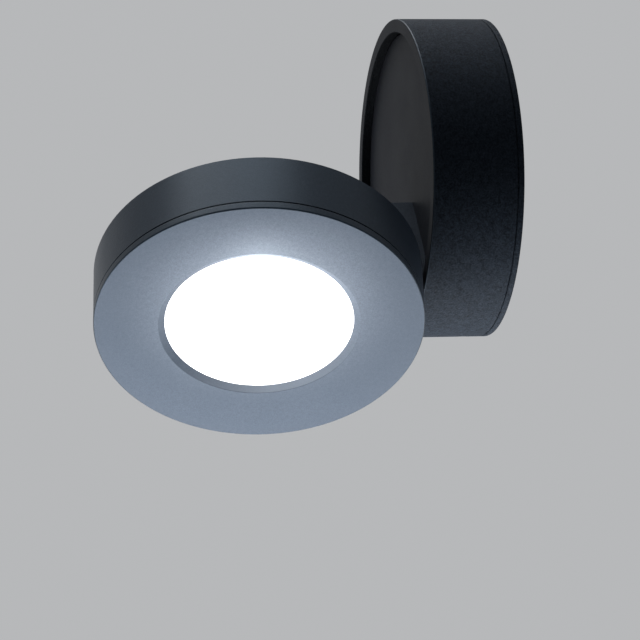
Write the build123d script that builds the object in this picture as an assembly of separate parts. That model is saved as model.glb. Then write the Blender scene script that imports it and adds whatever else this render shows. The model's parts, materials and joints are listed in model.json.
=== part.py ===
from build123d import *
from math import radians
import os

# Pivoting spotlight wall light: a round base on the wall, a turntable sunk in its face,
# a neck standing on the turntable and a round lamp head hinged to the neck.
#
# Bench frame: X right, Y up, Z out from the wall, wall at Z = 0, base centred on Z.
# The turntable and neck are drawn with the neck pointing straight down (-Y).
# The head is drawn flat, its back at Z = 0, hinge towards -Y, light towards +Z.
# All lengths are millimetres and all angles degrees.

# ---- pose that the light is drawn in ----
swivel_angle = 42.4
tilt_angle = 82.7

# ---- outside of the base ----
body_diameter = 100.0
base_depth = 28.5
rim_width = 4.14
recess_depth = 2.7
rim_chamfer = 0.4
edge_break = 0.2
parting_chamfer = 0.4

# ---- base housing ----
wall_thickness = 3.0
web_thickness = 3.0
rib_count = 6
rib_thickness = 1.6
rib_height = 3.0

# ---- wall plate and what it carries ----
plate_thickness = 2.0
cable_hole_diameter = 14.0
cable_diameter = 8.0
wall_screw_spacing = 60.0
wall_slot_width = 4.6
wall_slot_length = 9.0
grommet_flange = 1.8
grommet_height = 1.4
small_edge = 0.6
tab_width = 10.0
tab_thickness = 2.0
tab_height = 9.0
housing_screw_diameter = 4.0
housing_screw_height = 7.5
housing_screw_socket = 2.0
housing_screw_sink = 0.5
boss_width = 8.0

terminal_length = 24.0
terminal_width = 13.0
terminal_height = 10.5
terminal_inset = 18.0
terminal_poles = 3
terminal_screw_diameter = 3.0
wire_hole_width = 3.0

driver_length = 38.0
driver_width = 17.0
driver_headroom = 2.25
driver_inset = 18.5
driver_corner = 1.5
driver_tab_width = 8.0
driver_tab_thickness = 1.2
earth_screw_inset = 11.6
earth_screw_bearing = 208.7

small_screw_diameter = 2.5
small_head_diameter = 4.4
small_head_height = 1.4

# ---- turntable bearing ----
turntable_thickness = 3.0
turntable_gap = 0.36
turntable_floor = 1.5
hub_diameter = 42.0
hub_wall = 3.0
slide_ring_thickness = 0.6
slide_ring_width = 4.0
cone_washer_height = 1.35
cone_washer_thickness = 0.7
cone_washer_width = 4.0
snap_ring_thickness = 1.5
snap_ring_width = 3.2
snap_ring_opening = 24.0
snap_groove_depth = 1.2
hub_lip = 1.0
stop_pin_diameter = 2.6
stop_track_depth = 1.6
swivel_stop = 175.0
half_turn = 180.0

# ---- neck ----
neck_width = 6.6
neck_heel = 2.8
neck_inset = 1.0
neck_rise = 1.7
neck_round = 4.0
neck_edge = 0.4
neck_screw_inset = 7.0
neck_screw_spacing = 13.0
neck_screw_diameter = 3.0
neck_screw_head = 5.4
neck_screw_head_height = 1.6
neck_screw_depth = 5.5

# ---- hinge ----
hinge_inset = 1.0
hinge_rise = 6.5
hinge_drop = 2.3
knuckle_radius = 5.0
pin_diameter = 5.6
pin_bore = 2.8
pin_head_diameter = 7.6
pin_head_height = 1.2
hinge_nut_height = 2.0
driver_slot_width = 0.9
driver_slot_depth = 0.6
ear_thickness = 5.0
friction_washer_thickness = 0.5
friction_washer_diameter = 9.2

# ---- head shell ----
head_thickness = 21.53
head_wall = 3.0
head_back = 2.6
back_chamfer = 0.5
pedestal_height = 4.0
head_rib_count = 8
head_rib_height = 4.4
hinge_boss_width = 24.0
hinge_boss_height = 4.0
hinge_boss_length = 13.0

# ---- front ring and optics ----
front_ring_thickness = 2.58
ring_groove_width = 0.4
ring_groove_depth = 1.2
front_chamfer = 0.4
ring_face_width = 19.4
window_bevel = 2.15
window_recess = 1.37
diffuser_overlap = 2.55
diffuser_thickness = 2.0
diffuser_gasket_thickness = 0.8
collar_wall = 1.9
spigot_length = 3.05
spigot_wall = 1.9
ring_screw_inset = 1.3
ring_screw_count = 3
board_screw_count = 2
ring_screw_diameter = 3.0
ring_screw_head = 5.8
ring_screw_boss = 7.2
ring_screw_bite = 4.4
reflector_inset = 8.0
reflector_wall = 1.2
reflector_flange = 1.0
board_inset = 0.45
board_thickness = 1.6
thermal_pad_inset = 6.0
thermal_pad_thickness = 0.3
board_screw_inset = 2.4
chip_width = 2.8
chip_length = 3.5
chip_height = 0.7
chip_inset = 4.5
inner_chip_count = 6
outer_chip_count = 12

# ---- internal leads ----
lead_diameter = 2.0
core_diameter = 1.8
core_bulge = 4.0
core_straight = 8.0
core_bend = 6.0
driver_lead_straight = 12.0
driver_lead_bend = 5.0
tight_bend = 2.6
channel_diameter = 2.8
channel_drop = 0.5
channel_bend = 6.0
lead_hole_inset = 1.8
lead_exit_side = 5.3
pin_bend = 1.3
board_bend = 4.0

# ---- clearances ----
running_gap = 0.05
fit_gap = 0.1
part_gap = 0.3
spigot_gap = 0.2

# ---- levels worked out from the sizes above ----
body_radius = body_diameter / 2
recess_radius = body_radius - rim_width
cavity_radius = body_radius - wall_thickness
turntable_radius = recess_radius - turntable_gap
turntable_front = base_depth - recess_depth
turntable_back = turntable_front - turntable_thickness
slide_ring_front = turntable_back - running_gap
web_front = slide_ring_front - slide_ring_thickness
web_back = web_front - web_thickness
hub_radius = hub_diameter / 2
hub_bore_radius = hub_radius - hub_wall
snap_ring_front = web_back - running_gap - cone_washer_height
snap_ring_back = snap_ring_front - snap_ring_thickness
hub_end = snap_ring_back - hub_lip
slide_ring_radius = recess_radius - 2 * part_gap
slide_ring_bore_radius = slide_ring_radius - slide_ring_width
stop_track_radius = (hub_radius + slide_ring_bore_radius) / 2

driver_top = hub_end - driver_headroom
driver_offset = cavity_radius - driver_inset
terminal_offset = cavity_radius - terminal_inset
terminal_top = plate_thickness + terminal_height
earth_place = Vector(cavity_radius - earth_screw_inset, 0).rotate(Axis.Z, earth_screw_bearing)

neck_end = turntable_radius - neck_inset
hinge_reach = neck_end - hinge_inset
hinge_height = base_depth + hinge_rise
neck_top = hinge_height + neck_rise
channel_height = hinge_height - channel_drop
lead_hole_reach = hub_bore_radius - lead_hole_inset
neck_start = lead_hole_reach - neck_heel
neck_screw_places = (neck_end - neck_screw_inset - neck_screw_spacing, neck_end - neck_screw_inset)
ear_inside = neck_width / 2 + running_gap + friction_washer_thickness
ear_outside = ear_inside + ear_thickness
pocket_radius = knuckle_radius + part_gap

shell_front = head_thickness - front_ring_thickness - ring_groove_width
ring_back = head_thickness - front_ring_thickness
shell_bore_radius = body_radius - head_wall
spigot_radius = shell_bore_radius - spigot_gap
spigot_end = ring_back - spigot_length
spigot_bore_radius = spigot_radius - spigot_wall
ring_screw_radius = spigot_bore_radius - ring_screw_boss / 2 - ring_screw_inset
aperture_radius = body_radius - ring_face_width
window_radius = aperture_radius - window_bevel
diffuser_front = head_thickness - window_recess
diffuser_back = diffuser_front - diffuser_thickness
diffuser_radius = window_radius + diffuser_overlap
rabbet_radius = diffuser_radius + fit_gap
gasket_back = diffuser_back - diffuser_gasket_thickness
pedestal_top = head_back + pedestal_height
board_back = pedestal_top + thermal_pad_thickness
board_front = board_back + board_thickness
board_radius = window_radius - board_inset
board_screw_radius = board_radius - board_screw_inset
reflector_foot_radius = board_radius - reflector_inset
outer_chip_radius = reflector_foot_radius - chip_inset
chip_rings = ((outer_chip_radius / 2, inner_chip_count), (outer_chip_radius, outer_chip_count))

wall_frame = Location((0, 0, 0), (90, 0, 0))
swivel_frame = wall_frame * Location((0, 0, 0), (0, 0, swivel_angle))
head_frame = (
    swivel_frame
    * Location((0, -hinge_reach, hinge_height), (tilt_angle, 0, 0))
    * Location((0, hinge_reach, hinge_drop))
)


def turned(*corners):
    """Solid turned about Z from corners given as (radius, height)."""
    outline = Polyline(*corners, close=True)
    return revolve(Plane.XZ * make_face(outline), Axis.Z)


def disc(radius, low, high, x=0.0, y=0.0):
    """Round bar along Z between two heights."""
    return Location((x, y, low)) * extrude(Circle(radius), high - low)


def annulus(outer, inner, low, high):
    """Flat ring about Z between two heights."""
    face = Circle(outer) - Circle(inner)
    return Location((0, 0, low)) * extrude(face, high - low)


def block(width, length, low, high, x=0.0, y=0.0):
    """Square bar along Z, centred on x and y, between two heights."""
    return Location((x, y, low)) * extrude(Rectangle(width, length), high - low)


def crossbar(radius, start, end, y, z):
    """Round bar along X between two places, through y and z."""
    return Location((start, y, z), (0, 90, 0)) * extrude(Circle(radius), end - start)


def round_edges(part, radius, height):
    """Edges that circle Z with this radius at this height."""
    rounds = part.edges().filter_by(GeomType.CIRCLE)
    return rounds.filter_by(
        lambda e: abs(e.radius - radius) < 0.001 and abs(e.arc_center.Z - height) < 0.001
    )


def spread(count, radius, first=0.0):
    """Places evenly round Z, the first one at an angle from the hinge side (-Y)."""
    return [
        Location((0, 0, 0), (0, 0, first + step * 360 / count)) * Location((0, -radius, 0))
        for step in range(count)
    ]


def together(places, part):
    """One compound with a copy of the part at each place."""
    return Compound([solid for place in places for solid in (place * part).solids()])


def shank(diameter, length):
    """Hidden threaded end of a screw, down from Z = 0, with eight sides."""
    return extrude(RegularPolygon(diameter / 2, 8), -length)


def slotted_screw(diameter, head_diameter, head_height, length):
    """Screw along Z with its slotted head standing on Z = 0."""
    screw = disc(head_diameter / 2, 0, head_height) + shank(diameter, length)
    return screw - block(head_diameter, head_diameter * 0.18, head_height * 0.5, head_height)


def wire(diameter, points, radii):
    """Six-sided lead along straight runs joined by tangent arcs."""
    path = FilletPolyline(*points, radius=radii)
    section = RegularPolygon(diameter / 2, 6)
    return sweep(Plane(path @ 0, z_dir=path % 0) * section, path=path)


# ---- base ----


def wall_plate():
    plate = disc(body_radius, 0, plate_thickness)
    plate = chamfer(round_edges(plate, body_radius, plate_thickness), edge_break)
    plate -= disc(cable_hole_diameter / 2, 0, plate_thickness)
    slot = extrude(SlotOverall(wall_slot_length, wall_slot_width), plate_thickness)
    for side in (-1, 1):
        plate -= Location((side * wall_screw_spacing / 2, 0, 0)) * slot
        plate += tab_block(side)
        plate += driver_tab(side)
    plate -= small_hole(0, -terminal_offset)
    plate -= small_hole(earth_place.X, earth_place.Y)
    return plate


def tab_block(side):
    """Upright tab that a housing screw bears on, above or below the centre."""
    tab = block(tab_width, tab_thickness, plate_thickness, plate_thickness + tab_height)
    tab = chamfer(tab.edges().filter_by(Axis.Y).sort_by(Axis.Z)[-2:], tab_thickness)
    return Location((0, side * tab_centre(), 0)) * tab


def driver_tab(side):
    """Upright at one end of the supply, with a lip folded over its top edge."""
    reach = side * (driver_length / 2 + driver_tab_thickness / 2)
    tab = block(driver_tab_thickness, driver_tab_width, plate_thickness, driver_top, reach, driver_offset)
    lip = block(3 * driver_tab_thickness, driver_tab_width, driver_top, driver_top + driver_tab_thickness)
    return tab + Location((reach - side * driver_tab_thickness, driver_offset, 0)) * lip


def tab_centre():
    return cavity_radius - housing_boss_depth() - part_gap - tab_thickness / 2


def housing_boss_depth():
    return wall_thickness * 0.75


def small_hole(x, y):
    return disc(small_screw_diameter / 2, 0, plate_thickness, x, y)


def base_housing():
    shell = turned(
        (cavity_radius, plate_thickness),
        (body_radius, plate_thickness),
        (body_radius, base_depth),
        (recess_radius, base_depth),
        (recess_radius, web_front),
        (hub_radius + running_gap, web_front),
        (hub_radius + running_gap, web_back),
        (cavity_radius, web_back),
    )
    shell = chamfer(round_edges(shell, body_radius, base_depth), rim_chamfer)
    shell = chamfer(round_edges(shell, body_radius, plate_thickness), parting_chamfer)
    rib_start = hub_radius + cone_washer_width + 2 * part_gap
    rib_length = cavity_radius - rib_start + fit_gap
    rib = block(rib_thickness, rib_length, web_back - rib_height, web_back + fit_gap)
    for place in spread(rib_count, rib_start + rib_length / 2, half_turn / rib_count):
        shell += place * rib
    thread = extrude(Circle(housing_screw_diameter / 2), wall_thickness + housing_boss_depth() + part_gap)
    for side in (-1, 1):
        shell += housing_boss(side)
        shell -= Location((0, side * body_radius, housing_screw_height), (side * 90, 0, 0)) * thread
    shell -= disc(stop_pin_diameter / 2, web_back, web_front, 0, stop_track_radius)
    return shell


def housing_boss(side):
    """Pad on the inside of the wall that gives a housing screw its thread."""
    inside = cavity_radius - housing_boss_depth()
    outside = cavity_radius + wall_thickness / 2
    low = housing_screw_height - boss_width / 2
    return block(boss_width, outside - inside, low, low + boss_width, 0, side * (inside + outside) / 2)


def housing_screws():
    """Headless screws, sunk in the wall of the housing and bearing on the plate's tabs."""
    length = wall_thickness + housing_boss_depth() + part_gap - housing_screw_sink
    socket = extrude(RegularPolygon(housing_screw_socket / 2, 6), length / 2)
    screw = extrude(Circle(housing_screw_diameter / 2), length) - socket
    reach = tab_centre() + tab_thickness / 2 + length
    places = [
        Location((0, side * reach, housing_screw_height), (side * 90, 0, 0)) for side in (-1, 1)
    ]
    return together(places, screw)


def cable_grommet():
    return turned(
        (cable_diameter / 2, 0),
        (cable_hole_diameter / 2, 0),
        (cable_hole_diameter / 2, plate_thickness),
        (cable_hole_diameter / 2 + grommet_flange, plate_thickness),
        (cable_hole_diameter / 2 + grommet_flange, plate_thickness + grommet_height),
        (cable_diameter / 2, plate_thickness + grommet_height),
    )


def small_screw_at(x, y, seat):
    """Screw whose head stands on the seat and whose thread ends inside the plate."""
    screw = slotted_screw(
        small_screw_diameter, small_head_diameter, small_head_height, seat - plate_thickness * 0.2
    )
    return Location((x, y, seat)) * screw


def terminal_block():
    body = block(terminal_length, terminal_width, plate_thickness, terminal_top, 0, -terminal_offset)
    body = chamfer(body.edges().filter_by(Axis.Z), small_edge)
    for x, y in terminal_screw_places():
        body -= disc(terminal_screw_diameter / 2, terminal_screw_floor(), terminal_top, x, y)
    low, high = wire_height() - wire_hole_width / 2, wire_height() + wire_hole_width / 2
    for x in terminal_pole_places():
        for side in (-1, 1):
            middle = -terminal_offset + side * terminal_width * 0.35
            body -= block(wire_hole_width, terminal_width * 0.3, low, high, x, middle)
    seat = terminal_screw_seat()
    body -= disc(small_head_diameter / 2 + fit_gap, seat, terminal_top, 0, -terminal_offset)
    body -= disc(small_screw_diameter / 2, plate_thickness, seat, 0, -terminal_offset)
    return body


def terminal_screw_seat():
    return plate_thickness + terminal_height * 0.25


def terminal_screw_floor():
    return plate_thickness + terminal_height / 2


def terminal_pole_places():
    pitch = terminal_length / (terminal_poles + 1)
    return [(pole - (terminal_poles - 1) / 2) * pitch * 1.15 for pole in range(terminal_poles)]


def terminal_screw_places():
    return [(x, -terminal_offset - terminal_width * 0.3) for x in terminal_pole_places()]


def terminal_screws():
    """Clamp screws sunk in the wells of the terminal block."""
    low = terminal_screw_floor()
    high = low + terminal_screw_diameter
    screw = disc(terminal_screw_diameter / 2, low, high)
    screw -= block(terminal_screw_diameter, small_edge, high - small_edge, high)
    return together([Location((x, y, 0)) for x, y in terminal_screw_places()], screw)


def terminal_fixing_screw():
    return small_screw_at(0, -terminal_offset, terminal_screw_seat())


def earth_screw():
    seat = plate_thickness + small_edge
    washer = disc(small_head_diameter * 0.7, plate_thickness, seat, earth_place.X, earth_place.Y)
    return washer + small_screw_at(earth_place.X, earth_place.Y, seat)


def led_driver():
    """Sealed constant-current supply held between two tabs of the wall plate."""
    case = block(driver_length, driver_width, plate_thickness, driver_top, 0, driver_offset)
    case = chamfer(case.edges().filter_by(Axis.Z), driver_corner)
    return chamfer(case.faces().sort_by(Axis.Z)[-1].edges(), small_edge)


def wire_height():
    return plate_thickness + terminal_height * 0.4


def supply_leads():
    """Line and neutral cores from the terminal block, past the cable entry, to the supply."""
    z = wire_height()
    start = -terminal_offset + terminal_width * 0.3
    end = driver_offset - driver_width / 2
    bulge = cable_hole_diameter / 2 + grommet_flange + core_diameter + core_bulge
    cores = []
    for pole, side in ((terminal_pole_places()[0], -1), (terminal_pole_places()[-1], 1)):
        turns = [(pole, start + core_straight), (side * bulge, 0), (pole, end - core_straight)]
        route = [(pole, start), *turns, (pole, end)]
        cores.append(wire(core_diameter, [(x, y, z) for x, y in route], core_bend).solid())
    return Compound(cores)


def driver_lead():
    """Two-core lead from the supply to the swivel axis."""
    start_y = driver_offset - driver_width / 2
    low = wire_height()
    high = lead_meeting() - part_gap
    middle = (low + high) / 2
    points = [(0, start_y, low), (0, start_y - driver_lead_straight, low), (0, 0, middle), (0, 0, high)]
    return wire(lead_diameter, points, (driver_lead_bend, (high - middle) * 0.7))


def lead_meeting():
    """Height on the swivel axis where the fixed lead meets the turning one."""
    return hub_end - lead_diameter


# ---- turntable and its bearing ----


def slide_ring():
    return annulus(slide_ring_radius, slide_ring_bore_radius, web_front, slide_ring_front)


def stop_pin():
    high = turntable_back + stop_track_depth - part_gap
    return disc(stop_pin_diameter / 2, web_back, high, 0, stop_track_radius)


def turntable():
    table = disc(turntable_radius, turntable_back, turntable_front)
    table = chamfer(round_edges(table, turntable_radius, turntable_front), edge_break)
    table += disc(hub_radius, hub_end, turntable_back)
    table -= disc(hub_bore_radius, hub_end, turntable_front - turntable_floor)
    table -= stop_track()
    table -= disc(channel_diameter / 2, turntable_back, turntable_front, 0, -lead_hole_reach)
    for reach in neck_screw_places:
        table -= disc(neck_screw_diameter / 2, turntable_back, turntable_front, 0, -reach)
        table -= disc(neck_screw_head / 2 + fit_gap, turntable_back, neck_screw_seat(), 0, -reach)
    groove_floor = hub_radius - snap_groove_depth
    return table - annulus(hub_radius + fit_gap, groove_floor, snap_ring_back, snap_ring_front)


def stop_track():
    """Groove that the stop pin runs in, open except for a bridge under the neck."""
    width = stop_pin_diameter + 2 * part_gap
    inner = stop_track_radius - width / 2
    track = annulus(inner + width, inner, turntable_back, turntable_back + stop_track_depth)
    # the bridge fills what the pin can't reach between its two stops
    bridge_length = 2 * stop_track_radius * radians(half_turn - swivel_stop) - width
    return track - block(bridge_length, 2 * width, turntable_back, turntable_front, 0, -stop_track_radius)


def neck_screw_seat():
    return turntable_back + neck_screw_head_height + fit_gap


def cone_washer():
    """Conical spring washer that keeps the bearing tight."""
    inner = hub_radius + fit_gap
    outer = hub_radius + cone_washer_width
    low = snap_ring_front
    high = low + cone_washer_height
    return turned(
        (inner, low),
        (inner, low + cone_washer_thickness),
        (outer, high),
        (outer, high - cone_washer_thickness),
    )


def snap_ring():
    """Open ring in the groove of the hub, holding the washer against the web."""
    inner = hub_radius - snap_groove_depth
    ring = annulus(inner + snap_ring_width, inner, snap_ring_back, snap_ring_front)
    opening = inner * radians(snap_ring_opening)
    return ring - block(opening, 2 * snap_ring_width, snap_ring_back, snap_ring_front, 0, inner)


# ---- neck ----


def neck_block():
    middle = ((neck_start + neck_end) / -2, (turntable_front + neck_top) / 2)
    outline = Location(middle) * Rectangle(neck_end - neck_start, neck_top - turntable_front)
    corner = outline.vertices().sort_by(Axis.Y)[-2:].sort_by(Axis.X)[-1]
    outline = fillet(corner, neck_round)
    outline += Location((-hinge_reach, hinge_height)) * Circle(knuckle_radius)
    neck = extrude(Plane.YZ * outline, neck_width / 2, both=True)
    rims = neck.edges().filter_by(lambda e: abs(abs(e.center().X) - neck_width / 2) < 0.001)
    rims = rims.filter_by(lambda e: e.center().Z > turntable_front + neck_edge)
    neck = chamfer(rims, neck_edge)
    neck -= crossbar(
        pin_diameter / 2 + running_gap, -neck_width / 2, neck_width / 2, -hinge_reach, hinge_height
    )
    neck -= wire(channel_diameter, neck_route(turntable_front, hinge_reach), channel_bend)
    for reach in neck_screw_places:
        neck -= disc(
            neck_screw_diameter / 2, turntable_front, turntable_front + neck_screw_depth, 0, -reach
        )
    return neck


def neck_route(start_height, reach):
    """Run of the lead up through the foot of the neck and along to the hinge pin."""
    return [
        (0, -lead_hole_reach, start_height),
        (0, -lead_hole_reach, channel_height),
        (0, -reach, channel_height),
    ]


def neck_screws():
    length = turntable_front - neck_screw_seat() + neck_screw_depth - part_gap
    screw = slotted_screw(neck_screw_diameter, neck_screw_head, neck_screw_head_height, length)
    flipped = Location((0, 0, neck_screw_seat()), (180, 0, 0)) * screw
    return together([Location((0, -reach, 0)) for reach in neck_screw_places], flipped)


def neck_lead():
    """Two-core lead from the swivel axis, through the neck, to the hollow hinge pin."""
    level = turntable_front - turntable_floor - lead_diameter - part_gap
    end = hinge_reach - pin_diameter / 2 - part_gap
    points = [(0, 0, lead_meeting()), (0, 0, level), *neck_route(level, end)]
    return wire(lead_diameter, points, (tight_bend, tight_bend, channel_bend))


# ---- hinge ----


def hinge_pin():
    """Hollow shoulder screw, open towards the neck's channel and into one ear."""
    y, z = -hinge_reach, -hinge_drop
    nut_seat = -ear_outside + hinge_nut_height
    pin = crossbar(pin_diameter / 2, nut_seat - hinge_nut_height, ear_outside - pin_head_height, y, z)
    pin += crossbar(pin_head_diameter / 2, ear_outside - pin_head_height, ear_outside, y, z)
    pin -= crossbar(pin_bore / 2, -lead_exit_side - pin_bore / 2, pin_bore / 2, y, z)
    reach = pin_diameter
    window = Location((0, y + reach / 2, z - reach / 2)) * Box(pin_bore, reach, reach)
    pin -= window
    pin -= disc(channel_diameter / 2, z, z + reach, -lead_exit_side, y)
    slot_middle = ear_outside - driver_slot_depth / 2
    return pin - Location((slot_middle, y, z)) * Box(driver_slot_depth, pin_head_diameter, driver_slot_width)


def hinge_nut():
    """Round nut with a driver slot, flush in the other ear."""
    y, z = -hinge_reach, -hinge_drop
    nut = crossbar(pin_head_diameter / 2, -ear_outside, -ear_outside + hinge_nut_height, y, z)
    nut -= crossbar(pin_diameter / 2, -ear_outside, -ear_outside + hinge_nut_height, y, z)
    slot_middle = -ear_outside + driver_slot_depth / 2
    return nut - Location((slot_middle, y, z)) * Box(driver_slot_depth, pin_head_diameter, driver_slot_width)


def friction_washers():
    y, z = -hinge_reach, -hinge_drop
    washers = []
    for side in (-1, 1):
        inside, outside = sorted((side * (ear_inside - friction_washer_thickness), side * ear_inside))
        washer = crossbar(friction_washer_diameter / 2, inside, outside, y, z)
        washer -= crossbar(pin_diameter / 2 + running_gap, inside, outside, y, z)
        washers.append(washer.solid())
    return Compound(washers)


# ---- head ----


def head_shell():
    shell = turned(
        (0, 0),
        (body_radius, 0),
        (body_radius, shell_front),
        (shell_bore_radius, shell_front),
        (shell_bore_radius, head_back),
        (board_radius + edge_break, head_back),
        (board_radius + edge_break, pedestal_top),
        (0, pedestal_top),
    )
    shell = chamfer(round_edges(shell, body_radius, 0), back_chamfer)
    shell += head_ribs()
    shell += hinge_boss()
    shell += hinge_ears()
    shell -= crossbar(pocket_radius, -ear_inside, ear_inside, -hinge_reach, -hinge_drop)
    shell -= hinge_bores()
    column = disc(ring_screw_boss / 2, 0, spigot_end)
    bore = disc(ring_screw_diameter / 2 + fit_gap, 0, spigot_end)
    depth = (ring_screw_head - ring_screw_diameter) / 2
    bore += turned(
        (0, 0), (ring_screw_head / 2 + fit_gap, 0), (ring_screw_diameter / 2 + fit_gap, depth), (0, depth)
    )
    for place in ring_screw_seats():
        shell += place * column
        shell -= place * bore
    for place in board_screw_seats():
        shell -= place * disc(small_screw_diameter / 2, head_back, pedestal_top)
    return shell


def ring_screw_seats():
    return spread(ring_screw_count, ring_screw_radius, half_turn / ring_screw_count)


def board_screw_seats():
    return spread(board_screw_count, board_screw_radius, half_turn / board_screw_count)


def head_ribs():
    """Radial ribs that carry heat from the pedestal to the wall of the head."""
    length = shell_bore_radius - board_radius + fit_gap
    rib = block(rib_thickness, length, head_back - fit_gap, head_back + head_rib_height)
    places = spread(head_rib_count, board_radius + length / 2, half_turn / head_rib_count)
    return [place * rib for place in places]


def hinge_boss():
    """Thick patch inside the back, behind the hinge pocket."""
    middle = hinge_reach + pocket_radius - hinge_boss_length / 2
    boss = block(
        hinge_boss_width, hinge_boss_length, head_back - fit_gap, head_back + hinge_boss_height, 0, -middle
    )
    return boss & disc(shell_bore_radius + fit_gap, 0, shell_front)


def hinge_ears():
    """Two rounded ears on the back of the head, one at each side of the neck."""
    circle = Location((-hinge_reach, -hinge_drop)) * Circle(knuckle_radius)
    root = Location((-hinge_reach, head_back / 4 - hinge_drop / 2)) * Rectangle(
        2 * knuckle_radius, hinge_drop + head_back / 2
    )
    ears = []
    for side in (-1, 1):
        ear = extrude(Plane.YZ * (circle + root), ear_thickness)
        rim = ear.edges().filter_by(GeomType.CIRCLE).sort_by(Axis.X)
        ear = chamfer(rim[-1] if side > 0 else rim[0], edge_break)
        start = ear_inside if side > 0 else -ear_outside
        ears.append(Location((start, 0, 0)) * ear)
    return ears


def hinge_bores():
    """Bore for the pin, seats for its head and nut, and the lead's way into the head."""
    y, z = -hinge_reach, -hinge_drop
    bores = crossbar(pin_diameter / 2, -ear_outside, ear_outside, y, z)
    bores += crossbar(pin_head_diameter / 2, ear_outside - pin_head_height, ear_outside, y, z)
    bores += crossbar(pin_head_diameter / 2, -ear_outside, -ear_outside + hinge_nut_height, y, z)
    bores += disc(channel_diameter / 2, z, head_back + hinge_boss_height, -lead_exit_side, y)
    return bores


def ring_gasket():
    outer = body_radius - ring_groove_depth
    return annulus(outer, shell_bore_radius, shell_front, ring_back)


def front_ring():
    """Front ring with a flared aperture, a collar for the diffuser and a spigot for the shell."""
    ring = turned(
        (rabbet_radius, gasket_back),
        (rabbet_radius, diffuser_front),
        (window_radius, diffuser_front),
        (aperture_radius, head_thickness),
        (body_radius, head_thickness),
        (body_radius, ring_back),
        (spigot_radius, ring_back),
        (spigot_radius, spigot_end),
        (spigot_bore_radius, spigot_end),
        (spigot_bore_radius, ring_back),
        (rabbet_radius + collar_wall, ring_back),
        (rabbet_radius + collar_wall, gasket_back),
    )
    ring = chamfer(round_edges(ring, body_radius, head_thickness), front_chamfer)
    boss = disc(ring_screw_boss / 2, spigot_end, ring_back + fit_gap)
    pilot = disc(ring_screw_diameter / 2, spigot_end, spigot_end + ring_screw_bite)
    for place in ring_screw_seats():
        ring += place * boss
        ring -= place * pilot
    return ring


def ring_screws():
    """Countersunk screws from the back of the head into the bosses of the front ring."""
    sink = (ring_screw_head - ring_screw_diameter) / 2
    head = turned((0, 0), (ring_screw_head / 2, 0), (ring_screw_diameter / 2, sink), (0, sink))
    length = spigot_end + ring_screw_bite - part_gap - sink
    screw = head + Location((0, 0, sink + length)) * shank(ring_screw_diameter, length)
    screw -= block(ring_screw_head, ring_screw_head * 0.15, 0, sink * 0.6)
    return together(ring_screw_seats(), screw)


def diffuser():
    return disc(diffuser_radius, diffuser_back, diffuser_front)


def diffuser_gasket():
    return annulus(diffuser_radius, window_radius + edge_break, gasket_back, diffuser_back)


def reflector():
    """White cone from the board up to a flange under the gasket."""
    return turned(
        (reflector_foot_radius, board_front),
        (reflector_foot_radius + reflector_wall, board_front),
        (window_radius + reflector_wall, gasket_back - reflector_flange),
        (diffuser_radius, gasket_back - reflector_flange),
        (diffuser_radius, gasket_back),
        (window_radius, gasket_back),
    )


def led_board():
    board = disc(board_radius, board_back, board_front)
    for place in board_screw_seats():
        board -= place * disc(small_screw_diameter / 2, board_back, board_front)
    return board


def led_chips():
    chip = block(chip_width, chip_length, board_front, board_front + chip_height)
    places = [place for radius, count in chip_rings for place in spread(count, radius)]
    return together(places, chip)


def thermal_pad():
    return disc(board_radius - thermal_pad_inset, pedestal_top, board_back)


def board_screws():
    length = board_front - head_back - part_gap
    screw = slotted_screw(small_screw_diameter, small_head_diameter, small_head_height, length)
    return together(board_screw_seats(), Location((0, 0, board_front)) * screw)


def head_lead():
    """Two-core lead from the hinge pin, through one ear, to the edge of the board."""
    level = board_front + lead_diameter / 2
    edge = board_radius - lead_diameter
    points = [
        (0, -hinge_reach, -hinge_drop),
        (-lead_exit_side, -hinge_reach, -hinge_drop),
        (-lead_exit_side, -hinge_reach, level),
        (-lead_exit_side, -edge, level),
    ]
    return wire(lead_diameter, points, (pin_bend, board_bend))


base_nodes = {
    "wall_plate": wall_plate,
    "base_housing": base_housing,
    "housing_screws": housing_screws,
    "cable_grommet": cable_grommet,
    "terminal_block": terminal_block,
    "terminal_screws": terminal_screws,
    "terminal_fixing_screw": terminal_fixing_screw,
    "earth_screw": earth_screw,
    "led_driver": led_driver,
    "supply_leads": supply_leads,
    "driver_lead": driver_lead,
    "slide_ring": slide_ring,
    "stop_pin": stop_pin,
}

swivel_nodes = {
    "turntable": turntable,
    "cone_washer": cone_washer,
    "snap_ring": snap_ring,
    "neck_block": neck_block,
    "neck_screws": neck_screws,
    "neck_lead": neck_lead,
}

head_nodes = {
    "head_shell": head_shell,
    "hinge_pin": hinge_pin,
    "hinge_nut": hinge_nut,
    "friction_washers": friction_washers,
    "ring_gasket": ring_gasket,
    "front_ring": front_ring,
    "ring_screws": ring_screws,
    "diffuser": diffuser,
    "diffuser_gasket": diffuser_gasket,
    "reflector": reflector,
    "led_board": led_board,
    "led_chips": led_chips,
    "thermal_pad": thermal_pad,
    "board_screws": board_screws,
    "head_lead": head_lead,
}


os.makedirs("parts", exist_ok=True)
for frame, nodes in ((wall_frame, base_nodes), (swivel_frame, swivel_nodes), (head_frame, head_nodes)):
    for name, make in nodes.items():
        export_step(frame * make(), f"parts/{name}.step")
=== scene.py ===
import json
import math

import bmesh
import bpy
import numpy as np
from mathutils import Matrix, Vector


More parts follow.
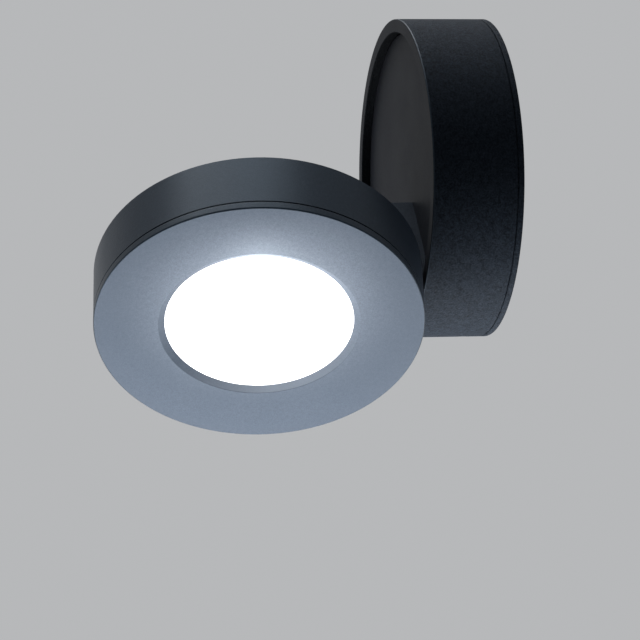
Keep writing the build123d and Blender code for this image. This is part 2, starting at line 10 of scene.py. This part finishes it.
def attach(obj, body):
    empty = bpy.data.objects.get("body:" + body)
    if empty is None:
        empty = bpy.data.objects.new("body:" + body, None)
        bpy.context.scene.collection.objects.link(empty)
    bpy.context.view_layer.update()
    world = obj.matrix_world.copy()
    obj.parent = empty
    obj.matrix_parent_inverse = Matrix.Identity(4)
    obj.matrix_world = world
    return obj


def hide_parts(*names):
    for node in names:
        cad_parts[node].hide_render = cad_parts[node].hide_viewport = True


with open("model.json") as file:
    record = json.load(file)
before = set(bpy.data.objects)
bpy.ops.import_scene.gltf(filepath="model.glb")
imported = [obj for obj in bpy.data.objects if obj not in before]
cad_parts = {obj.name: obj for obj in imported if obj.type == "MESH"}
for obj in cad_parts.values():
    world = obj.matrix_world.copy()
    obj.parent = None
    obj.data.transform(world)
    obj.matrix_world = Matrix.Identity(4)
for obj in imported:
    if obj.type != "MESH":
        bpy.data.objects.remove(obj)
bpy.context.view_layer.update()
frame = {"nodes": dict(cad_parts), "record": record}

mm = 0.001  # sizes are in millimetres, apart from the camera, the lamps and the floor, in metres

# places of the three bodies, as the solids have them: z from the base's back to its front, then
# turned with the swivel and tilted about the hinge
pose = {"swivel": 42.4, "tilt": 82.7, "hingeReach": 43.5, "hingeHeight": 35.0, "hingeDrop": 2.3}


def shifted(x, y, z):
    return Matrix.Translation((x * mm, y * mm, z * mm))


baseFrame = Matrix.Rotation(math.radians(90), 4, "X")
swivelFrame = baseFrame @ Matrix.Rotation(math.radians(pose["swivel"]), 4, "Z")
headFrame = (
    swivelFrame
    @ shifted(0, -pose["hingeReach"], pose["hingeHeight"])
    @ Matrix.Rotation(math.radians(pose["tilt"]), 4, "X")
    @ shifted(0, pose["hingeReach"], pose["hingeDrop"])
)


def opaque(value):
    # a plain colour gets full alpha, a number or a wire stays as it is
    return (*value, 1) if isinstance(value, tuple) and len(value) == 3 else value


class Wire:
    # one output socket; + - * / on it add Math nodes
    def __init__(self, shade, socket):
        self.shade, self.socket = shade, socket

    def __add__(self, other):
        return self.shade.sum("ADD", self, other)

    def __sub__(self, other):
        return self.shade.sum("SUBTRACT", self, other)

    def __rsub__(self, other):
        return self.shade.sum("SUBTRACT", other, self)

    def __mul__(self, other):
        return self.shade.sum("MULTIPLY", self, other)

    def __truediv__(self, other):
        return self.shade.sum("DIVIDE", self, other)

    __radd__ = __add__
    __rmul__ = __mul__


class Shade:
    # the node tree of one material or of the world
    def __init__(self, owner):
        owner.use_nodes = True
        self.tree = owner.node_tree
        self.tree.nodes.clear()

    def add(self, kind, settings=None, inputs=None, output=0):
        # one node: its settings first, then a value or a wire for each input socket
        node = self.tree.nodes.new(kind)
        for key, value in (settings or {}).items():
            setattr(node, key, value)
        for key, value in (inputs or {}).items():
            if isinstance(value, Wire):
                self.tree.links.new(value.socket, node.inputs[key])
            else:
                node.inputs[key].default_value = value
        return Wire(self, node.outputs[output] if len(node.outputs) else None)

    def sum(self, operation, first, second):
        return self.add("ShaderNodeMath", {"operation": operation}, {0: first, 1: second})

    def place(self):
        return self.add("ShaderNodeTexCoord", output="Object")

    def noise(self, size, detail=2.0, roughness=0.5):
        # soft random field whose patches are about size millimetres wide
        values = {
            "Vector": self.place(),
            "Scale": 1 / (size * mm),
            "Detail": detail,
            "Roughness": roughness,
        }
        return self.add("ShaderNodeTexNoise", {}, values)

    def spread(self, value, low=0.3, high=0.7, newLow=0.0, newHigh=1.0):
        # value between low and high stretched to newLow..newHigh and held there;
        # most of a noise lies between 0.3 and 0.7
        values = {
            "Value": value,
            "From Min": low,
            "From Max": high,
            "To Min": newLow,
            "To Max": newHigh,
        }
        return self.add("ShaderNodeMapRange", {"clamp": True}, values)

    def clouded(self, field, roughness, look):
        # roughness with the look's shinier and duller places, where the noise puts them
        low, high = roughness - look["shinier"], roughness + look["duller"]
        return self.spread(field, newLow=low, newHigh=high)

    def mixed(self, mask, first, second):
        # first colour where the mask is 0, second where it is 1: a Mix node has its colours
        # on sockets 6 and 7 and gives the mixed one on output 2
        values = {0: mask, 6: opaque(first), 7: opaque(second)}
        return self.add("ShaderNodeMix", {"data_type": "RGBA"}, values, 2)

    def bumped(self, height, depth):
        # depth is the height of the bumps in millimetres
        values = {"Height": height, "Distance": depth * mm, "Strength": 1.0}
        return self.add("ShaderNodeBump", {}, values)


def finished(name, recipe):
    # a material whose recipe gives the sockets of one Principled shader
    material = bpy.data.materials.new(name)
    shade = Shade(material)
    sockets = {key: opaque(value) for key, value in recipe(shade).items()}
    body = shade.add("ShaderNodeBsdfPrincipled", {}, sockets)
    shade.add("ShaderNodeOutputMaterial", {}, {"Surface": body})
    return material


skyTint = (0.66, 0.82, 1.0)

# powder coats: both ends of the tone, width of a grain and depth of its bumps, then roughness
# and the strength and tint of the gloss
headLook = {
    "dark": (0.0072, 0.0105, 0.0160),
    "light": (0.0170, 0.0235, 0.0350),
    "grain": 0.42,
    "depth": 0.05,
    "roughness": 0.41,
    "gloss": 0.32,
    "tint": (0.5, 0.74, 1.0),
}
# neck coat: lighter than the head's, painted light on the neck's face
neckPaintedLightLook = {
    **headLook,
    "dark": (0.013, 0.015, 0.020),
    "light": (0.027, 0.031, 0.041),
    "gloss": 0.3,
}
faceLook = {
    **headLook,
    "dark": (0.0075, 0.0083, 0.0105),
    "light": (0.0165, 0.018, 0.0225),
    "roughness": 0.5,
    "gloss": 0.05,
    "tint": skyTint,
}
# edge coat: lighter and glossier than the head's, a painted highlight along the base's rim edge
edgeHighlightLook = {**headLook, "light": (0.025, 0.030, 0.038), "roughness": 0.45, "gloss": 0.22}
# ring coat: much lighter than the other black coats, partly its own tone and partly painted light
# of the window on it
ringPaintedLightLook = {
    **headLook,
    "dark": (0.060, 0.077, 0.105),
    "light": (0.081, 0.102, 0.138),
    "roughness": 0.6,
    "gloss": 0.2,
    "tint": skyTint,
}
baseLook = {
    "dark": (0.0030, 0.0045, 0.0072),
    "light": (0.0245, 0.0330, 0.0467),
    "grain": 0.55,
    "depth": 0.3,
    "roughness": 0.6,
    "gloss": 0.05,
    "tint": skyTint,
}
# well coat: far darker than the base's, painted shade on the inner wall of the recess
wellShadeLook = {**baseLook, "dark": (0.0008, 0.0009, 0.0012), "light": (0.003, 0.0034, 0.0042)}

# sand of every powder coat: shares of the fine and the coarse grain, width of a coarse grain in
# fine ones, width of a cloud, ends of the grain's tone, and what a cloud does to the roughness
sandLook = {
    "fine": 0.7,
    "coarse": 0.3,
    "wider": 2.7,
    "cloud": 14.0,
    "darkest": 0.35,
    "lightest": 0.68,
    "shinier": 0.015,
    "duller": 0.02,
}


def sandCoat(look, paintedGlow=None):
    # black powder coat: fine sand grain in bump and tone, wide faint clouds in roughness, and,
    # where a glow is given, painted light of the window as emission
    def recipe(shade):
        fine = shade.noise(look["grain"], detail=3.0, roughness=0.6)
        coarse = shade.noise(look["grain"] * sandLook["wider"])
        clouds = shade.noise(sandLook["cloud"])
        grain = fine * sandLook["fine"] + coarse * sandLook["coarse"]
        tone = shade.spread(grain, sandLook["darkest"], sandLook["lightest"])
        sockets = {
            "Base Color": shade.mixed(tone, look["dark"], look["light"]),
            "Roughness": shade.clouded(clouds, look["roughness"], sandLook),
            "Specular IOR Level": look["gloss"],
            "Specular Tint": look["tint"],
            "Normal": shade.bumped(grain, look["depth"]),
        }
        if paintedGlow:
            sockets.update(paintedGlow(shade, tone))
        return sockets

    return recipe


# painted glows of the window on the ring, given out as emission of its coat: the spill lies over
# the face, and the bevel takes the shore's share of it, the brow is above the window, and the foot
# is on the bevel below it; the bevel's own entry marks where it is, and grain is the even and the
# sandy share of the spill
paintedGlowLook = {
    "colour": (0.78, 0.87, 1.0),
    "height": 21.5,
    "grain": (0.8, 0.4),
    "bevel": {"middle": (0.0, 0.0), "inner": 30.45, "outer": 30.55},
    "spill": {"middle": (10.0, 0.5), "inner": 22.0, "outer": 47.5},
    "shore": {"middle": (14.0, -14.0), "inner": 24.0, "outer": 40.0, "most": 0.8},
    "brow": {"middle": (29.0, 4.0), "inner": 2.0, "outer": 18.0},
    "foot": {"middle": (-26.6, -12.4), "inner": 6.0, "outer": 36.0},
    "spillLevel": 0.26,
    "browOnFace": 0.16,
    "browOnBevel": 0.55,
    "footLevel": 0.24,
}


def paintedWindowGlow(shade, tone):
    # painted light of the window on the ring, given out as emission: a sum of glows, each one a
    # fade with the distance from its own middle, squared for the spill and the brow, times its
    # level
    def fade(middle, inner, outer, most=1.0):
        # 1 up to the distance inner from the middle, and from there down to 1 - most at outer
        x, y = middle
        centre = headFrame @ Vector((x * mm, y * mm, paintedGlowLook["height"] * mm))
        values = {0: shade.place(), 1: centre}
        away = shade.add("ShaderNodeVectorMath", {"operation": "DISTANCE"}, values, "Value") / mm
        return 1 - shade.spread(away, inner, outer, 0.0, most)

    bevel, wide, shore, high, low = (
        fade(**paintedGlowLook[name]) for name in ("bevel", "spill", "shore", "brow", "foot")
    )
    steady, sandy = paintedGlowLook["grain"]
    onFace, onBevel = paintedGlowLook["browOnFace"], paintedGlowLook["browOnBevel"]
    glow = wide * wide * (1 - bevel + shore * bevel) * (steady + tone * sandy)
    glow = glow * paintedGlowLook["spillLevel"]
    glow = glow + high * high * (onFace + bevel * (onBevel - onFace))
    glow = glow + low * bevel * paintedGlowLook["footLevel"]
    return {
        "Emission Color": shade.mixed(glow, (0.0, 0.0, 0.0), paintedGlowLook["colour"]),
        "Emission Strength": 1.0,
    }


metalLook = {
    "mark": 0.35,
    "cloud": 3.0,
    "darker": 0.82,
    "shinier": 0.06,
    "duller": 0.08,
    "depth": 0.0045,
}


def metal(colour, roughness):
    # turned or plated metal: fine marks in tone and bump, small roughness clouds
    def recipe(shade):
        marks = shade.noise(metalLook["mark"], detail=4.0, roughness=0.7)
        clouds = shade.noise(metalLook["cloud"])
        darker = tuple(c * metalLook["darker"] for c in colour)
        return {
            "Base Color": shade.mixed(shade.spread(marks), darker, colour),
            "Metallic": 1.0,
            "Roughness": shade.clouded(clouds, roughness, metalLook),
            "Normal": shade.bumped(marks, metalLook["depth"]),
        }

    return recipe


mouldedLook = {"cloud": 6.0, "darker": 0.88, "shinier": 0.04, "duller": 0.06, "depth": 0.01}


def moulded(colour, roughness, grain=0.6):
    # moulded plastic: slight colour clouds under a faint tool texture
    def recipe(shade):
        texture = shade.noise(grain)
        clouds = shade.noise(mouldedLook["cloud"])
        darker = tuple(c * mouldedLook["darker"] for c in colour)
        return {
            "Base Color": shade.mixed(shade.spread(clouds), darker, colour),
            "Roughness": shade.clouded(texture, roughness, mouldedLook),
            "Normal": shade.bumped(texture, mouldedLook["depth"]),
        }

    return recipe


rubberLook = {
    "mottle": 1.2,
    "dust": 5.0,
    "dusty": (0.4, 0.75),
    "paler": 1.25,
    "bloom": 0.01,
    "shinier": 0.05,
    "duller": 0.05,
    "depth": 0.02,
}


def rubber(colour, roughness):
    # matt rubber or silicone: soft mottling and a pale dusty bloom
    def recipe(shade):
        mottle = shade.noise(rubberLook["mottle"], detail=3.0, roughness=0.6)
        dust = shade.noise(rubberLook["dust"])
        paler = tuple(min(1.0, c * rubberLook["paler"] + rubberLook["bloom"]) for c in colour)
        return {
            "Base Color": shade.mixed(shade.spread(dust, *rubberLook["dusty"]), colour, paler),
            "Roughness": shade.clouded(mottle, roughness, rubberLook),
            "Normal": shade.bumped(mottle, rubberLook["depth"]),
        }

    return recipe


windowLook = {
    "cell": 9.0,
    "satin": 0.5,
    "skin": ((0.86, 0.87, 0.88), (0.92, 0.92, 0.92)),
    "light": ((0.97, 0.98, 1.0), (1.0, 1.0, 1.0)),
    "roughness": 0.37,
    "shinier": 0.05,
    "duller": 0.05,
    "strength": 1.15,
    "depth": 0.004,
}


def opalWindow(shade):
    # lit opal window: light in soft cells, with a satin face
    cells = shade.noise(windowLook["cell"], detail=1.0)
    satin = shade.noise(windowLook["satin"])
    return {
        "Base Color": shade.mixed(shade.spread(satin), *windowLook["skin"]),
        "Roughness": shade.clouded(satin, windowLook["roughness"], windowLook),
        "Emission Color": shade.mixed(shade.spread(cells), *windowLook["light"]),
        "Emission Strength": windowLook["strength"],
        "Normal": shade.bumped(satin, windowLook["depth"]),
    }


finishes = {
    "black_coat": sandCoat(headLook),
    "face_coat": sandCoat(faceLook),
    "well_shade_coat": sandCoat(wellShadeLook),
    "edge_highlight_coat": sandCoat(edgeHighlightLook),
    "neck_painted_light_coat": sandCoat(neckPaintedLightLook),
    "base_coat": sandCoat(baseLook),
    "ring_painted_light_coat": sandCoat(ringPaintedLightLook, paintedWindowGlow),
    "plate_coat": sandCoat(baseLook),
    "zinc_steel": metal((0.60, 0.61, 0.62), 0.32),
    "black_steel": metal((0.045, 0.047, 0.05), 0.38),
    "brass": metal((0.72, 0.53, 0.24), 0.3),
    "black_rubber": rubber((0.012, 0.012, 0.013), 0.75),
    "white_silicone": rubber((0.72, 0.72, 0.71), 0.6),
    "thermal_silicone": rubber((0.35, 0.37, 0.42), 0.7),
    "terminal_plastic": moulded((0.75, 0.74, 0.70), 0.45),
    "driver_case": moulded((0.80, 0.80, 0.79), 0.5),
    "lead_jacket": moulded((0.70, 0.70, 0.69), 0.55, 1.0),
    "bearing_plastic": moulded((0.62, 0.61, 0.56), 0.4),
    "opal_diffuser": opalWindow,
    "white_plastic": moulded((0.86, 0.86, 0.85), 0.35),
    "board_white": moulded((0.82, 0.83, 0.82), 0.4, 0.3),
    "led_phosphor": moulded((0.93, 0.78, 0.30), 0.5, 0.2),
}
materials = {name: finished(name, recipe) for name, recipe in finishes.items()}
print("materials", len(materials))

slots = {part["node"]: part["material_slot"] for part in frame["record"]["subparts"]}
for name, node in frame["nodes"].items():
    node.data.materials.clear()
    node.data.materials.append(materials[slots[name]])


def rounded(corners, steps=6):
    # corners are (radius, height, fillet); each one becomes an arc that touches both of its runs,
    # with its centre on the corner's bisector, fillet / sin(half the corner's angle) away
    corners = np.array(corners, float)
    points, fillet = corners[:, :2], corners[:, 2]
    back = np.roll(points, 1, 0) - points
    ahead = np.roll(points, -1, 0) - points
    back /= np.linalg.norm(back, axis=1)[:, None]
    ahead /= np.linalg.norm(ahead, axis=1)[:, None]
    half = np.arccos(np.clip((back * ahead).sum(1), -1, 1)) / 2
    middle = back + ahead
    middle /= np.linalg.norm(middle, axis=1)[:, None]
    centre = points + middle * (fillet / np.sin(half))[:, None]
    reach = (fillet / np.tan(half))[:, None]
    first, last = points + back * reach - centre, points + ahead * reach - centre
    turn = np.pi - 2 * half[:, None, None]
    share = np.linspace(0, 1, steps + 1)[None, :, None]
    swing = np.sin((1 - share) * turn) * first[:, None] + np.sin(share * turn) * last[:, None]
    return (centre[:, None] + swing / np.sin(turn)).reshape(-1, 2)


def smoothed(mesh):
    # points nearer than 0.2 micron merged, faces turned outwards, shading smooth
    work = bmesh.new()
    work.from_mesh(mesh)
    bmesh.ops.remove_doubles(work, verts=work.verts, dist=2e-7)
    bmesh.ops.recalc_face_normals(work, faces=work.faces)
    work.to_mesh(mesh)
    work.free()
    mesh.shade_smooth()


def added(name, data):
    # a new object of the scene that holds the data
    thing = bpy.data.objects.new(name, data)
    bpy.context.collection.objects.link(thing)
    return thing


def shown(name, mesh, body, slot, *nodes):
    # puts a finished mesh in the scene for the nodes that it stands for
    piece = added(name, mesh)
    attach(piece, body)
    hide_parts(*nodes)
    even = piece.modifiers.new("even", "WEIGHTED_NORMAL")
    even.weight = 100
    even.keep_sharp = True
    return piece


def turnedMesh(name, corners, placement, sides=288):
    # a point of the profile at turn a lies at (r cos a, r sin a, height)
    profile = rounded(corners)
    turn = np.linspace(0, 2 * np.pi, sides, endpoint=False)
    radius, height = profile[:, :1], profile[:, 1:]
    grid = np.stack([radius * np.cos(turn), radius * np.sin(turn), height + 0 * turn], -1) * mm
    points = grid.reshape(-1, 3) @ np.array(placement.to_3x3()).T + np.array(placement.translation)
    row, column = np.arange(len(profile))[:, None], np.arange(sides)[None, :]
    nextRow, nextColumn = (row + 1) % len(profile), (column + 1) % sides
    corner = [
        row * sides + column,
        row * sides + nextColumn,
        nextRow * sides + nextColumn,
        nextRow * sides + column,
    ]
    faces = np.stack([c + 0 * (row + column) for c in corner], -1).reshape(-1, 4)
    mesh = bpy.data.meshes.new(name)
    mesh.from_pydata(points.tolist(), [], faces.tolist())
    smoothed(mesh)
    return mesh


def faceCentres(mesh, placement):
    # distance from the axis and height of each face's centre, in the drawing frame of the body
    centres = np.empty(len(mesh.polygons) * 3)
    mesh.polygons.foreach_get("center", centres)
    home = placement.inverted()
    centres = centres.reshape(-1, 3) @ np.array(home.to_3x3()).T + np.array(home.translation)
    x, y, z = centres.T / mm
    return np.hypot(x, y), z


def coated(mesh, coats, choice):
    # gives each face the coat that its number in choice names
    for coat in coats:
        mesh.materials.append(materials[coat])
    mesh.polygons.foreach_set("material_index", choice.astype(np.int32))


# front ring: flared aperture, rounded rim, collar for the window and spigot for the shell; its
# lighter coat, partly its own tone and partly painted light of the window, ends coatToRim short of
# the side and coatToBack in front of the back
ring = {
    "outer": 50.0,
    "front": 21.53,
    "back": 18.95,
    "rim": 0.45,
    "flare": 30.6,
    "window": 28.45,
    "seat": 20.16,
    "rabbet": 31.1,
    "collar": 33.0,
    "gasket": 17.36,
    "spigot": 46.8,
    "spigotBore": 44.9,
    "end": 15.9,
    "coatToRim": 0.32,
    "coatToBack": 0.2,
}


def frontRing():
    # cross-section: radius, height and fillet of each corner
    corners = [
        (ring["rabbet"], ring["gasket"], 0.1),
        (ring["rabbet"], ring["seat"], 0.1),
        (ring["window"], ring["seat"], 0.05),
        (ring["flare"], ring["front"], 0.12),
        (ring["outer"], ring["front"], ring["rim"]),
        (ring["outer"], ring["back"], 0.15),
        (ring["spigot"], ring["back"], 0.1),
        (ring["spigot"], ring["end"], 0.2),
        (ring["spigotBore"], ring["end"], 0.2),
        (ring["spigotBore"], ring["back"], 0.2),
        (ring["collar"], ring["back"], 0.2),
        (ring["collar"], ring["gasket"], 0.2),
    ]
    mesh = turnedMesh("lampRing", corners, headFrame)
    away, height = faceCentres(mesh, headFrame)
    side = away > ring["outer"] - ring["coatToRim"]
    behind = height < ring["back"] + ring["coatToBack"]
    coated(mesh, ("ring_painted_light_coat", "black_coat"), side | behind)
    shown("lampRing", mesh, "head", "black_coat", "front_ring")


frontRing()
print("front ring")

# base housing: drum with a raised rim, a web behind the turntable and two screw holes; the coats
# change faceDepth behind the rim's face, edgeWidth in from its edge (a lighter coat there, a
# painted highlight) and wellWidth outside the well (a far darker coat there, painted shade)
drum = {
    "outer": 50.0,
    "front": 28.5,
    "back": 2.0,
    "rimInside": 45.86,
    "cavity": 47.0,
    "hub": 21.05,
    "webFront": 22.15,
    "webBack": 19.15,
    "rim": 0.42,
    "lip": 0.3,
    "parting": 0.45,
    "hole": 2.0,
    "holeHeight": 7.5,
    "holeReach": 6.0,
    "faceDepth": 0.1,
    "edgeWidth": 0.25,
    "wellWidth": 0.3,
}


def cutter(radius, length, placement):
    # plain closed bar that a hole is cut with, as long as length on each side of its middle
    bar = [(0.0, -length, 0.0), (radius, -length, 0.05), (radius, length, 0.05), (0.0, length, 0.0)]
    return added("cutter", turnedMesh("cutter", bar, placement, 48))


def housing():
    # cross-section: radius, height and fillet of each corner
    corners = [
        (drum["cavity"], drum["back"], 0.1),
        (drum["outer"], drum["back"], drum["parting"]),
        (drum["outer"], drum["front"], drum["rim"]),
        (drum["rimInside"], drum["front"], drum["lip"]),
        (drum["rimInside"], drum["webFront"], 0.3),
        (drum["hub"], drum["webFront"], 0.2),
        (drum["hub"], drum["webBack"], 0.2),
        (drum["cavity"], drum["webBack"], 0.3),
    ]
    mesh = turnedMesh("housing", corners, baseFrame)
    away, height = faceCentres(mesh, baseFrame)
    top, edgeStart = drum["front"] - drum["faceDepth"], drum["outer"] - drum["edgeWidth"]
    face = (height > top) & (away < edgeStart)
    # the lighter edge coat on the rim's rounded edge is a painted highlight
    edge = (height > drum["front"] - drum["rim"]) & (away >= edgeStart)
    inside = away < drum["rimInside"] + drum["wellWidth"]
    # the far darker well coat on the recess's inner wall is painted shade
    well = (height > drum["webFront"]) & (height <= top) & inside
    coats = ("base_coat", "face_coat", "well_shade_coat", "edge_highlight_coat")
    coated(mesh, coats, face + 2 * well + 3 * edge)
    piece = shown("housing", mesh, "base", "black_coat", "base_housing")
    tools = []
    for side in (-1, 1):
        spot = Matrix.Translation(Vector((0, -drum["holeHeight"], side * drum["outer"])) * mm)
        tools.append(cutter(drum["hole"], drum["holeReach"], spot))
        cut = piece.modifiers.new("hole", "BOOLEAN")
        cut.operation, cut.object, cut.solver = "DIFFERENCE", tools[-1], "EXACT"
        piece.modifiers.move(len(piece.modifiers) - 1, 0)
    live = piece.evaluated_get(bpy.context.evaluated_depsgraph_get())
    shaped = bpy.data.meshes.new_from_object(live)
    piece.modifiers.clear()
    piece.data = shaped
    for tool in tools:
        bpy.data.objects.remove(tool)


housing()
print("housing")

# nodes that keep their form and get softer edges: name of the piece, its body, width of the
# rounding, and the coat where it isn't the node's own
soft = {
    "wall_plate": {"name": "wallPlate", "body": "base", "width": 0.3},
    "turntable": {"name": "table", "body": "swivel", "width": 0.12, "coat": "face_coat"},
    "neck_block": {"name": "neck", "body": "swivel", "width": 0.16, "coat": "neck_painted_light_coat"},
    "head_shell": {"name": "lampShell", "body": "head", "width": 0.15},
    "hinge_pin": {"name": "pin", "body": "head", "width": 0.08},
    "hinge_nut": {"name": "nut", "body": "head", "width": 0.08},
    "ring_screws": {"name": "ringScrews", "body": "head", "width": 0.06},
    "housing_screws": {"name": "housingScrews", "body": "base", "width": 0.06},
    "diffuser": {"name": "window", "body": "head", "width": 0.1},
}


def softened(node, name, body, width, coat=None):
    # merged copy of a node with every edge over 28 degrees rounded by width
    mesh = frame["nodes"][node].data.copy()
    mesh.name = name
    smoothed(mesh)
    if coat:
        mesh.materials.clear()
        mesh.materials.append(materials[coat])
    piece = shown(name, mesh, body, slots[node], node)
    bevel = piece.modifiers.new("round", "BEVEL")
    bevel.width = width * mm
    bevel.segments = 2
    bevel.limit_method = "ANGLE"
    bevel.angle_limit = math.radians(28)
    bevel.use_clamp_overlap = True
    piece.modifiers.move(1, 0)


for node, look in soft.items():
    softened(node, **look)
print("softened", len(soft))

# camera: its place, its own three directions, and its lens and sensor in millimetres
view = {
    "place": (1.203015, -0.319168, -0.049408),
    "right": (0.2157, 0.97633, -0.01581),
    "up": (0.00762, 0.01451, 0.99987),
    "back": (0.97643, -0.21579, -0.00431),
    "lens": 221.5512,
    "sensor": 36.0,
    "near": 0.05,
    "far": 20.0,
}
camera = added("camera", bpy.data.cameras.new("camera"))
camera.data.lens = view["lens"]
camera.data.sensor_width = view["sensor"]
camera.data.clip_start, camera.data.clip_end = view["near"], view["far"]
turned = Matrix((view["right"], view["up"], view["back"])).transposed().to_4x4()
camera.matrix_world = Matrix.Translation(view["place"]) @ turned
bpy.context.scene.camera = camera

# lamps: place, direction, two sides and watts
studio = {
    "under": ((-0.02, -0.14, -0.30), (0, 0, 1), (0.3, 0.8), 4.2),
    "top": ((0.05, -0.08, 0.55), (0, 0, -1), (0.3, 0.3), 0.68),
    "behind": ((-0.3, -0.1, 0.6), (0.3, 0.05, -0.6), (0.4, 0.4), 2.4),
    "brow": ((-0.24, -0.36, 0.66), (0.24, 0.36, -0.66), (0.25, 0.25), 1.3),
    "left": ((-1.3, -0.45, 0.2), (1.3, 0.45, -0.2), (0.5, 0.5), 0.1),
}
for name, (place, aim, sides, watts) in studio.items():
    light = bpy.data.lights.new(name, "AREA")
    light.shape = "RECTANGLE"
    light.size, light.size_y = sides
    light.energy = watts
    holder = added(name, light)
    holder.location = place
    holder.rotation_mode = "QUATERNION"
    holder.rotation_quaternion = Vector(aim).to_track_quat("-Z", "Y")
    holder.visible_camera = False


def seenRays(shade):
    # 1 for rays from the camera, off a gloss or through a clear piece,
    # 0 for those that light the object
    direct, glossy, clear = (
        shade.add("ShaderNodeLightPath", output="Is %s Ray" % kind)
        for kind in ("Camera", "Glossy", "Transmission")
    )
    return shade.sum("MINIMUM", direct + glossy + clear, 1.0)


background = {"seen": 0.49, "ambient": 0.07, "tint": (0.965, 0.98, 1.0)}
world = bpy.data.worlds.new("studio")
bpy.context.scene.world = world
sky = Shade(world)
level = sky.spread(seenRays(sky), 0.0, 1.0, background["ambient"], background["seen"])
paperLight = {"Color": opaque(background["tint"]), "Strength": level}
paper = sky.add("ShaderNodeBackground", {}, paperLight)
sky.add("ShaderNodeOutputWorld", {}, {"Surface": paper})

floorLook = {
    "drop": -1.3,
    "radius": 7.0,
    "sides": 96,
    "colour": (0.62, 0.63, 0.64),
    "paler": 1.04,
    "cloud": 180.0,
    "roughness": 0.9,
    "seen": 0.43,
}


def floorDisc():
    # flat round floor: its edge at turn a lies at (radius cos a, radius sin a, drop)
    turn = np.linspace(0, 2 * np.pi, floorLook["sides"], endpoint=False)
    points = np.stack([np.cos(turn), np.sin(turn), 0 * turn], 1) * floorLook["radius"]
    points[:, 2] = floorLook["drop"]
    mesh = bpy.data.meshes.new("floor")
    mesh.from_pydata(points.tolist(), [], [list(range(len(points)))])
    return mesh


def paperFloor(shade):
    # pale paper with the faintest cloudiness, pale to the eye and in reflections wherever it lies
    clouds = shade.noise(floorLook["cloud"])
    paler = tuple(c * floorLook["paler"] for c in floorLook["colour"])
    seen = tuple(floorLook["seen"] * c for c in background["tint"])
    return {
        "Base Color": shade.mixed(clouds, floorLook["colour"], paler),
        "Roughness": floorLook["roughness"],
        "Emission Color": shade.mixed(seenRays(shade), (0.0, 0.0, 0.0), seen),
        "Emission Strength": 1.0,
    }


floor = added("floor", floorDisc())
floor.data.materials.append(finished("floor_paper", paperFloor))
print("studio ready")

bpy.context.scene.view_settings.view_transform = "Standard"
